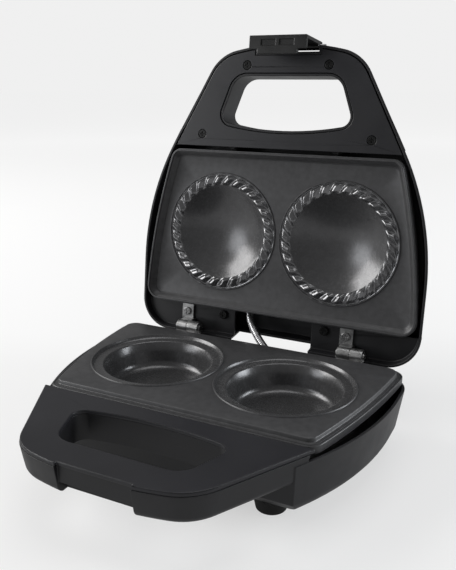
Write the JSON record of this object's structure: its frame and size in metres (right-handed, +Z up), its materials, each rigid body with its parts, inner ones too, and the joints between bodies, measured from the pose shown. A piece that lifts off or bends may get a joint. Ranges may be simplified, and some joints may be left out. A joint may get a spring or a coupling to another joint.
{
  "type": "twin pie maker",
  "caption": "Open hinged table-top pie maker: domed plates with fluted crimp rings over deep wells, loop handles and a swinging latch.",
  "frame": {"origin": "on the table, under the middle of the open appliance's bounding box", "axes": "+Z up, handles towards -Y, +X to the right-hand side seen from the front"},
  "size_m": [0.2504, 0.3062, 0.2934],
  "materials": {
    "housing": "fine spark-eroded matt black moulding",
    "handle_panel": "satin charcoal moulding",
    "nonstick": "satin graphite non-stick coating on die-cast aluminium",
    "element": "dull aluminium sheath",
    "tray_sheet": "pressed sheet",
    "shield_sheet": "galvanised pressed sheet",
    "screw_steel": "zinc plated",
    "black_screw": "black phosphate",
    "ceramic": "white ceramic",
    "rubber": "soft matt rubber",
    "red_lens": "clear red lens",
    "green_lens": "clear green lens",
    "lamp_glass": "small neon lamp",
    "hinge_steel": "dull plated steel strap",
    "latch_plastic": "satin black moulding",
    "sleeve": "ribbed metal sleeve"
  },
  "bodies": {
    "base": {"base_shell": "housing", "base_handle_cover": "handle_panel", "lower_plate": "nonstick", "lower_heater": "element", "lower_heat_tray": "shield_sheet", "lower_plate_screws": "screw_steel", "base_hinge_screws": "screw_steel", "thermostat": "ceramic", "thermal_fuse": "screw_steel", "terminal_block": "ceramic", "cord_inlet_bush": "rubber", "foot_front_left": "rubber", "foot_front_right": "rubber", "foot_rear_left": "rubber", "foot_rear_right": "rubber", "base_hinge_leaf_left": "hinge_steel", "base_hinge_leaf_right": "hinge_steel", "hinge_pin_left": "screw_steel", "hinge_pin_right": "screw_steel", "wire_sleeve": "sleeve"},
    "lid": {"lid_shell": "housing", "lid_handle_cover": "handle_panel", "upper_plate": "nonstick", "upper_heater": "element", "upper_heat_tray": "tray_sheet", "upper_plate_screws": "black_screw", "lid_cover_screws": "black_screw", "lid_hinge_screws": "screw_steel", "thermal_cutout": "ceramic", "power_lens": "red_lens", "ready_lens": "green_lens", "power_lamp": "lamp_glass", "ready_lamp": "lamp_glass", "lid_hinge_leaf_left": "hinge_steel", "lid_hinge_leaf_right": "hinge_steel", "latch_pin": "screw_steel"},
    "latch": {"latch": "latch_plastic"}
  },
  "joints": [
    {"name": "lid_hinge", "type": "hinge", "parent": "base", "child": "lid", "pos_m": [0, 0.0838, 0.0525], "axis": [1, 0, 0], "range_deg": [0, 97], "deforming": ["wire_sleeve"]},
    {"name": "latch_pivot", "type": "hinge", "parent": "lid", "child": "latch", "pos_m": [0, 0.12756, 0.28581], "axis": [-1, 0, 0], "range_deg": [0, 35]}
  ]
}
